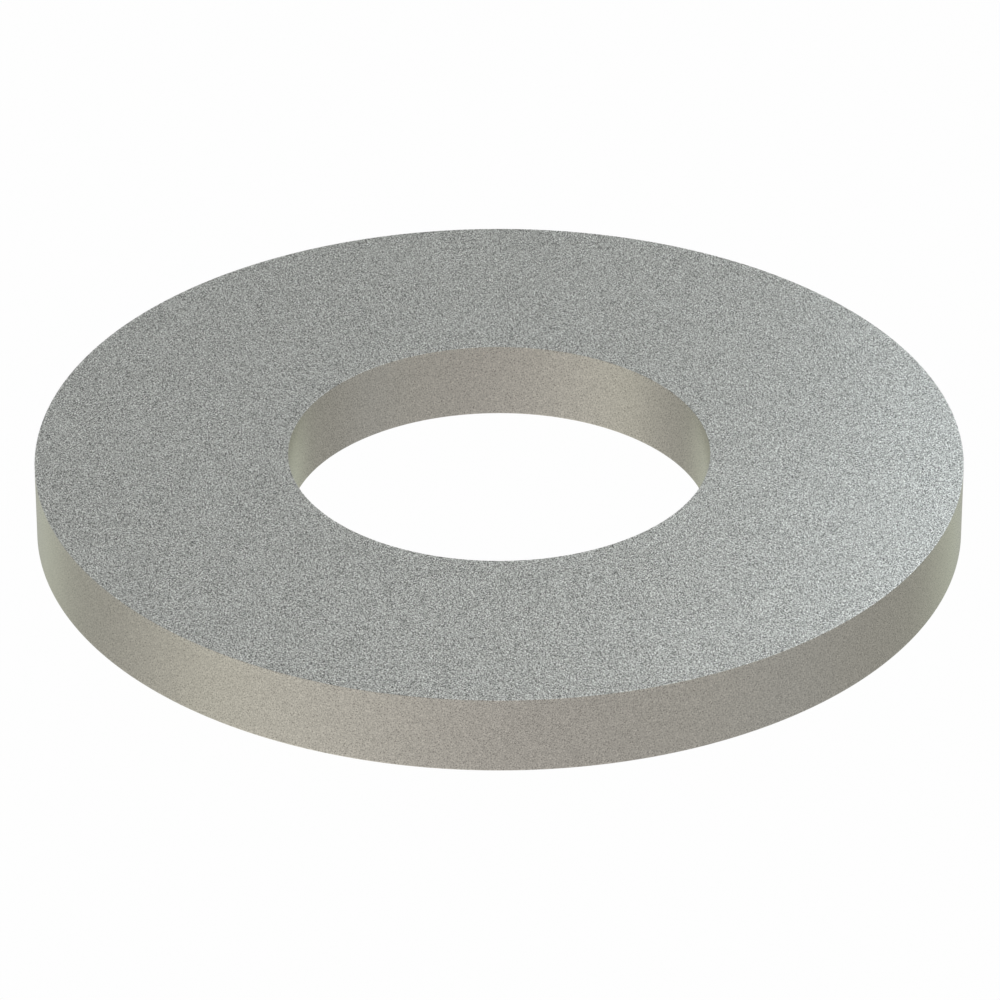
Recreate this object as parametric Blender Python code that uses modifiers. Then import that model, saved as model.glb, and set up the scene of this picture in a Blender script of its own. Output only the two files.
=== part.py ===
"""A plain flat washer: one flat ring, blanked and pierced from steel strip.

Units are metres and +Z is up, along the washer's axis. The origin is the centre of the lower
bearing face, so the washer lies flat on z = 0 and its upper bearing face is at z = THICKNESS.
"""

import math

import bmesh
import bpy

# Driving dimensions, in metres
OUTER_DIAMETER = 0.015875  # 5/8 in
HOLE_DIAMETER = 0.007220  # clears a 1/4 in (6.35 mm) screw
THICKNESS = 0.001350
EDGE_BREAK = 0.000030  # the rims are square and only deburred: a 45 degree break this wide
RING_STEPS = 192  # flats round the ring: a multiple of 4, so it reaches its full width along X and Y

# Finish: plain steel with a fine, even, matt blasted surface
STEEL_COLOUR = (0.50, 0.505, 0.49, 1.0)
STEEL_ROUGHNESS = 0.45
STEEL_METALLIC = 1.0


def start_clean():
    for ob in list(bpy.data.objects):
        bpy.data.objects.remove(ob, do_unlink=True)
    for coll in list(bpy.data.collections):
        bpy.data.collections.remove(coll)


def steel():
    mat = bpy.data.materials.new("steel")
    mat.use_nodes = True
    shader = next(n for n in mat.node_tree.nodes if n.type == "BSDF_PRINCIPLED")
    shader.inputs["Base Color"].default_value = STEEL_COLOUR
    shader.inputs["Roughness"].default_value = STEEL_ROUGHNESS
    shader.inputs["Metallic"].default_value = STEEL_METALLIC
    mat.diffuse_color = STEEL_COLOUR
    return mat


def ring_section():
    """The ring's cross-section as (radius, height) points. It runs outwards along the top face,
    down the outer rim, inwards along the bottom face and up the wall of the hole."""
    outer, hole = OUTER_DIAMETER / 2, HOLE_DIAMETER / 2
    low, high, cut = 0.0, THICKNESS, EDGE_BREAK
    return [
        (hole + cut, high),
        (outer - cut, high),
        (outer, high - cut),
        (outer, low + cut),
        (outer - cut, low),
        (hole + cut, low),
        (hole, low + cut),
        (hole, high - cut),
    ]


def turned(name, section, steps, coll):
    """A closed section at +X, turned once about Z."""
    bm = bmesh.new()
    points = [bm.verts.new((radius, 0.0, height)) for radius, height in section]
    for here, after in zip(points, points[1:] + points[:1]):
        bm.edges.new((here, after))
    mesh = bpy.data.meshes.new(name)
    bm.to_mesh(mesh)
    bm.free()

    ob = bpy.data.objects.new(name, mesh)
    coll.objects.link(ob)
    screw = ob.modifiers.new("turn", "SCREW")
    screw.axis = "Z"
    screw.angle = 2 * math.pi
    screw.screw_offset = 0.0
    screw.steps = steps
    screw.render_steps = steps
    screw.use_merge_vertices = True
    screw.merge_threshold = 0.000001
    screw.use_smooth_shade = True

    # The turned mesh replaces the section, so that its sharp rims can be marked
    bpy.context.view_layer.update()
    solid = bpy.data.meshes.new_from_object(
        ob.evaluated_get(bpy.context.evaluated_depsgraph_get())
    )
    ob.modifiers.remove(screw)
    ob.data = solid
    bpy.data.meshes.remove(mesh)
    solid.name = name
    solid.shade_smooth()
    solid.set_sharp_from_angle(angle=math.radians(30))
    return ob


def main():
    start_clean()
    coll = bpy.data.collections.new("flat_washer")
    bpy.context.scene.collection.children.link(coll)
    washer = turned("washer", ring_section(), RING_STEPS, coll)
    washer.data.materials.clear()
    washer.data.materials.append(steel())


main()
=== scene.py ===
import math

import bmesh
import bpy
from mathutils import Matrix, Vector


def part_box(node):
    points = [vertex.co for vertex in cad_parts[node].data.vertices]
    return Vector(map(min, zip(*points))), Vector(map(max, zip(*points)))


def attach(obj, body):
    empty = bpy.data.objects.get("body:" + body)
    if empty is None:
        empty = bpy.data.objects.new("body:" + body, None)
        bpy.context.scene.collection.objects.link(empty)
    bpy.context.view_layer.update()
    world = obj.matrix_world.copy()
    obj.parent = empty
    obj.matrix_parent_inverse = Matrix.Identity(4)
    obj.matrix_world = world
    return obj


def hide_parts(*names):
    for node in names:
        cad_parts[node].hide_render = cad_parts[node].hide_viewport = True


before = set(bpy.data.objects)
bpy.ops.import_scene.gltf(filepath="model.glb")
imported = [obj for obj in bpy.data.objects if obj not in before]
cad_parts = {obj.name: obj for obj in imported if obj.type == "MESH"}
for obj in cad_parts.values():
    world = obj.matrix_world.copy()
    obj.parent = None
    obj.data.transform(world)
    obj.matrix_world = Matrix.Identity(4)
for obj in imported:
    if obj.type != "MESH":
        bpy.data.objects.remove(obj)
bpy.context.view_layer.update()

# ---------------------------------------------------------------- the washer's sizes, from the frame
LOW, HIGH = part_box("washer")
OUTER_R = HIGH.x
THICK = HIGH.z - LOW.z
HOLE_R = min(
    math.hypot(v.co.x, v.co.y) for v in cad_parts["washer"].data.vertices
)

EDGE_R = 0.000006  # the rims are square, with only the sharpness taken off
SEGMENTS = 720
ARC_STEPS = 3
RUB_WIDTH = 0.00004  # how far in from an edge handling has rubbed the steel

# ---------------------------------------------------------------- camera, at the catalogue view's angle
TARGET = Vector((0.0000145, 0.0, 0.000373))
ELEVATION = math.radians(30.85)
DISTANCE = 0.11846
LENS_MM = 248.17

# ---------------------------------------------------------------- studio light
# An even, bright dome all round, with a few broad soft boxes on it. Each box is
# (azimuth from the front towards the right, elevation, half width, (red, green, blue)).
AMBIENT = (0.45, 0.45, 0.45)
BOXES = [
    (-150.0, -31.0, 10.0, (0.412, 0.448, 0.390)),
    (-75.0, -31.0, 10.0, (0.078, 0.083, 0.054)),
    (150.0, -31.0, 10.0, (0.392, 0.440, 0.368)),
    (75.0, -31.0, 10.0, (0.010, 0.020, 0.040)),
    (-60.0, -65.0, 20.0, (1.125, 1.100, 1.065)),
    (60.0, -65.0, 20.0, (0.203, 0.195, 0.205)),
    (0.0, -65.0, 20.0, (0.075, 0.035, 0.095)),
    (0.0, 0.0, 20.0, (0.125, 0.122, 0.125)),
    (165.0, 31.0, 11.0, (0.123, 0.123, 0.093)),
    (-135.0, 25.0, 25.0, (0.240, 0.240, 0.240)),
    (45.0, 20.0, 25.0, (0.350, 0.350, 0.350)),
    (-60.0, 25.0, 25.0, (0.300, 0.300, 0.300)),
    (110.0, 20.0, 25.0, (0.200, 0.200, 0.200)),
]
# Two round soft lights close behind the washer, whose glow fades across its top face. Each is
# (azimuth, elevation, distance from its aim, diameter, aim in outer radii, (red, green, blue)).
CLOSE_LIGHTS = [
    (145.0, 70.0, 0.040, 0.024, (0.0, 0.0), (1.404, 1.393, 1.383)),
    (165.0, 31.0, 0.030, 0.020, (1.4, -1.0), (0.978, 1.072, 1.161)),
]
GRAIN_TILT = (0.61, 0.93, 0.37)  # turns the grain's own axes, so that none lies along a face


def link(tree, a, b):
    tree.links.new(a, b)


def maths(tree, operation, a, b=None, c=None):
    """A Math node; its inputs are numbers or sockets."""
    node = tree.nodes.new("ShaderNodeMath")
    node.operation = operation
    for i, value in enumerate((a, b, c)):
        if value is None:
            continue
        if isinstance(value, (int, float)):
            node.inputs[i].default_value = value
        else:
            link(tree, value, node.inputs[i])
    return node.outputs[0]


def scaled(tree, vector, by):
    """vector (numbers or a socket) times by (a number or a socket)."""
    node = tree.nodes.new("ShaderNodeVectorMath")
    node.operation = "SCALE"
    for socket, value in ((node.inputs[0], vector), (node.inputs["Scale"], by)):
        if isinstance(value, bpy.types.NodeSocket):
            link(tree, value, socket)
        else:
            socket.default_value = value
    return node.outputs[0]


def added(tree, a, b):
    node = tree.nodes.new("ShaderNodeVectorMath")
    node.operation = "ADD"
    for i, value in enumerate((a, b)):
        if isinstance(value, bpy.types.NodeSocket):
            link(tree, value, node.inputs[i])
        else:
            node.inputs[i].default_value = value
    return node.outputs[0]


def direction(azimuth, elevation):
    a, e = math.radians(azimuth), math.radians(elevation)
    return (math.sin(a) * math.cos(e), -math.cos(a) * math.cos(e), math.sin(e))


def studio(ambient, boxes):
    """The world: what the washer reflects, and plain white behind it."""
    world = bpy.data.worlds.new("studio")
    world.use_nodes = True
    tree = world.node_tree
    tree.nodes.clear()
    where = tree.nodes.new("ShaderNodeTexCoord").outputs["Generated"]
    total = None
    light = tuple(ambient)
    for azimuth, elevation, width, colour in boxes:
        dot = tree.nodes.new("ShaderNodeVectorMath")
        dot.operation = "DOT_PRODUCT"
        link(tree, where, dot.inputs[0])
        dot.inputs[1].default_value = direction(azimuth, elevation)
        off = maths(tree, "SUBTRACT", dot.outputs["Value"], 1.0)
        sharp = 1.0 / math.radians(width) ** 2
        lobe = maths(tree, "EXPONENT", maths(tree, "MULTIPLY", off, sharp))
        part = scaled(tree, colour, lobe)
        total = part if total is None else added(tree, total, part)
    total = light if total is None else added(tree, total, light)
    seen = tree.nodes.new("ShaderNodeBackground")
    seen.inputs["Color"].default_value = (0.99, 0.99, 0.99, 1)
    lit = tree.nodes.new("ShaderNodeBackground")
    if isinstance(total, bpy.types.NodeSocket):
        link(tree, total, lit.inputs["Color"])
    else:
        lit.inputs["Color"].default_value = (*total, 1)
    path = tree.nodes.new("ShaderNodeLightPath")
    mix = tree.nodes.new("ShaderNodeMixShader")
    link(tree, path.outputs["Is Camera Ray"], mix.inputs[0])
    link(tree, lit.outputs[0], mix.inputs[1])
    link(tree, seen.outputs[0], mix.inputs[2])
    out = tree.nodes.new("ShaderNodeOutputWorld")
    link(tree, mix.outputs[0], out.inputs["Surface"])
    bpy.context.scene.world = world
    return world


def close_lights():
    """The close round lights, each as bright all over as its colour says."""
    for i, (azimuth, elevation, distance, size, aim, colour) in enumerate(CLOSE_LIGHTS):
        name = "close_light_%d" % (i + 1)
        data = bpy.data.lights.new(name, "AREA")
        data.shape = "DISK"
        data.size = size
        data.color = colour
        data.energy = math.pi * math.pi * (size / 2) ** 2
        back = Vector(direction(azimuth, elevation))
        ob = bpy.data.objects.new(name, data)
        bpy.context.scene.collection.objects.link(ob)
        ob.location = Vector((aim[0] * OUTER_R, aim[1] * OUTER_R, HIGH.z)) + back * distance
        ob.rotation_euler = back.to_track_quat("Z", "Y").to_euler()
        ob.visible_camera = False


def white_floor():
    """A wide, plain, evenly lit white floor. It doesn't light or shade the washer."""
    bm = bmesh.new()
    bmesh.ops.create_circle(bm, cap_ends=True, segments=96, radius=6.0)
    mesh = bpy.data.meshes.new("floor")
    bm.to_mesh(mesh)
    bm.free()
    floor = bpy.data.objects.new("floor", mesh)
    bpy.context.scene.collection.objects.link(floor)
    floor.location.z = LOW.z - 0.000002
    mat = bpy.data.materials.new("floor_white")
    mat.use_nodes = True
    tree = mat.node_tree
    tree.nodes.clear()
    glow = tree.nodes.new("ShaderNodeEmission")
    glow.inputs["Color"].default_value = (0.99, 0.99, 0.99, 1)
    out = tree.nodes.new("ShaderNodeOutputMaterial")
    link(tree, glow.outputs[0], out.inputs["Surface"])
    mesh.materials.append(mat)
    floor.visible_diffuse = False
    floor.visible_glossy = False
    floor.visible_transmission = False
    floor.visible_volume_scatter = False
    floor.visible_shadow = False
    return floor


def camera():
    data = bpy.data.cameras.new("camera")
    data.lens = LENS_MM
    data.sensor_width = 36.0
    data.clip_start = 0.01
    data.clip_end = 40.0
    ob = bpy.data.objects.new("camera", data)
    bpy.context.scene.collection.objects.link(ob)
    back = Vector((0.0, -math.cos(ELEVATION), math.sin(ELEVATION)))
    ob.location = TARGET + back * DISTANCE
    ob.rotation_euler = back.to_track_quat("Z", "Y").to_euler()
    bpy.context.scene.camera = ob
    return ob


# ---------------------------------------------------------------- the ring's mesh
def section():
    """The ring's cross-section as (radius, height) points, round each of its four corners: outer
    top, outer bottom, hole bottom, hole top."""
    points = []
    corners = (
        (OUTER_R - EDGE_R, HIGH.z - EDGE_R, 90.0, 0.0),
        (OUTER_R - EDGE_R, LOW.z + EDGE_R, 0.0, -90.0),
        (HOLE_R + EDGE_R, LOW.z + EDGE_R, -90.0, -180.0),
        (HOLE_R + EDGE_R, HIGH.z - EDGE_R, 180.0, 90.0),
    )
    for radius, height, first, last in corners:
        for i in range(ARC_STEPS + 1):
            a = math.radians(first + (last - first) * i / ARC_STEPS)
            points.append((radius + EDGE_R * math.cos(a), height + EDGE_R * math.sin(a)))
    # a loop beside each corner keeps the flats flat under smooth shading
    close = 2.5 * EDGE_R
    made = []
    for i, (r, z) in enumerate(points):
        r2, z2 = points[(i + 1) % len(points)]
        made.append((r, z))
        long = math.hypot(r2 - r, z2 - z)
        if long > 10 * EDGE_R:
            for s in (close / long, 0.5, 1 - close / long):
                made.append((r + (r2 - r) * s, z + (z2 - z) * s))
    return made


def ring(name):
    points = section()
    bm = bmesh.new()
    rounds = []
    for k in range(SEGMENTS):
        a = 2 * math.pi * k / SEGMENTS
        c, s = math.cos(a), math.sin(a)
        rounds.append([bm.verts.new((r * c, r * s, z)) for r, z in points])
    for k, here in enumerate(rounds):
        there = rounds[(k + 1) % SEGMENTS]
        for i in range(len(points)):
            j = (i + 1) % len(points)
            face = bm.faces.new((here[i], here[j], there[j], there[i]))
            face.smooth = True
            (r1, z1), (r2, z2) = points[i], points[j]
            face.material_index = 1 if abs(z2 - z1) > abs(r2 - r1) else 0
    bmesh.ops.recalc_face_normals(bm, faces=bm.faces)
    mesh = bpy.data.meshes.new(name)
    bm.to_mesh(mesh)
    bm.free()
    ob = bpy.data.objects.new(name, mesh)
    bpy.context.scene.collection.objects.link(ob)
    return ob


# ---------------------------------------------------------------- materials
def noise(tree, where, per_metre, detail):
    node = tree.nodes.new("ShaderNodeTexNoise")
    node.noise_dimensions = "3D"
    node.inputs["Scale"].default_value = per_metre
    node.inputs["Detail"].default_value = detail
    node.inputs["Roughness"].default_value = 0.6
    link(tree, where, node.inputs["Vector"])
    return maths(tree, "SUBTRACT", node.outputs["Fac"], 0.5)


def edge_distance(tree, where):
    """The distance to the nearest of the ring's four edges, in metres."""
    xyz = tree.nodes.new("ShaderNodeSeparateXYZ")
    link(tree, where, xyz.inputs[0])
    x, y, z = (xyz.outputs[k] for k in "XYZ")
    squares = maths(tree, "MULTIPLY_ADD", x, x, maths(tree, "MULTIPLY", y, y))
    radius = maths(tree, "SQRT", squares)
    middle, half = (OUTER_R + HOLE_R) / 2, (OUTER_R - HOLE_R) / 2
    across = maths(
        tree, "SUBTRACT", half, maths(tree, "ABSOLUTE", maths(tree, "SUBTRACT", radius, middle))
    )
    high = maths(tree, "ABSOLUTE", maths(tree, "SUBTRACT", z, (LOW.z + HIGH.z) / 2))
    down = maths(tree, "SUBTRACT", THICK / 2, high)
    squares = maths(tree, "MULTIPLY_ADD", across, across, maths(tree, "MULTIPLY", down, down))
    return maths(tree, "SQRT", squares)


def steel(name, colour, grazing, roughness, grain, grain_mm, cloud, relief_um, rub):
    """Matt blasted steel: fine bright and dark grains with their relief, a faint cloudiness, and
    edges that handling has rubbed a little brighter and smoother in places."""
    mat = bpy.data.materials.new(name)
    mat.use_nodes = True
    tree = mat.node_tree
    tree.nodes.clear()
    where = tree.nodes.new("ShaderNodeTexCoord").outputs["Object"]

    tilt = tree.nodes.new("ShaderNodeVectorRotate")
    tilt.rotation_type = "EULER_XYZ"
    tilt.inputs["Rotation"].default_value = GRAIN_TILT
    link(tree, where, tilt.inputs["Vector"])
    tilted = tilt.outputs[0]
    fine = noise(tree, tilted, 1000.0 / grain_mm, 0.0)
    soft = noise(tree, tilted, 420.0, 4.0)
    patchy = noise(tree, tilted, 2600.0, 2.0)

    fade = maths(tree, "MULTIPLY", edge_distance(tree, where), -1.0 / RUB_WIDTH)
    worn = maths(
        tree,
        "MULTIPLY",
        maths(tree, "EXPONENT", fade),
        maths(tree, "MAXIMUM", maths(tree, "MULTIPLY_ADD", patchy, 3.0, 0.7), 0.0),
    )

    tone = maths(tree, "MULTIPLY_ADD", fine, grain, 1.0)
    tone = maths(tree, "MULTIPLY_ADD", soft, cloud, tone)
    tone = maths(tree, "MULTIPLY_ADD", worn, rub, tone)
    tone = maths(tree, "MINIMUM", maths(tree, "MAXIMUM", tone, 0.05), 1.9)
    rough = maths(tree, "MULTIPLY_ADD", fine, 0.25, roughness)
    rough = maths(tree, "MULTIPLY_ADD", soft, 0.10, rough)
    rough = maths(tree, "MULTIPLY_ADD", worn, -0.8 * rub, rough)

    shader = tree.nodes.new("ShaderNodeBsdfPrincipled")
    shader.inputs["Metallic"].default_value = 1.0
    shader.inputs["Specular Tint"].default_value = (*grazing, 1.0)
    link(tree, scaled(tree, colour, tone), shader.inputs["Base Color"])
    link(tree, rough, shader.inputs["Roughness"])
    bump = tree.nodes.new("ShaderNodeBump")
    bump.inputs["Strength"].default_value = 1.0
    bump.inputs["Distance"].default_value = relief_um * 1e-6
    link(tree, fine, bump.inputs["Height"])
    link(tree, bump.outputs["Normal"], shader.inputs["Normal"])
    out = tree.nodes.new("ShaderNodeOutputMaterial")
    link(tree, shader.outputs[0], out.inputs["Surface"])
    return mat


bpy.context.scene.view_settings.view_transform = "Standard"
bpy.context.scene.view_settings.look = "None"
camera()
white_floor()
studio(AMBIENT, BOXES)
close_lights()

washer = ring("flat_washer")
FACE, FACE_GRAZING = (0.497, 0.510, 0.495), (0.90, 0.90, 0.90)
EDGE, EDGE_GRAZING = (0.520, 0.500, 0.437), (0.80, 0.815, 0.77)
washer.data.materials.append(
    steel("face_steel", FACE, FACE_GRAZING, 0.42, 4.1, 0.020, 0.03, 0.8, 0.04)
)
washer.data.materials.append(
    steel("cut_edge_steel", EDGE, EDGE_GRAZING, 0.32, 1.30, 0.018, 0.03, 0.3, 0.04)
)
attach(washer, "root")
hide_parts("washer")
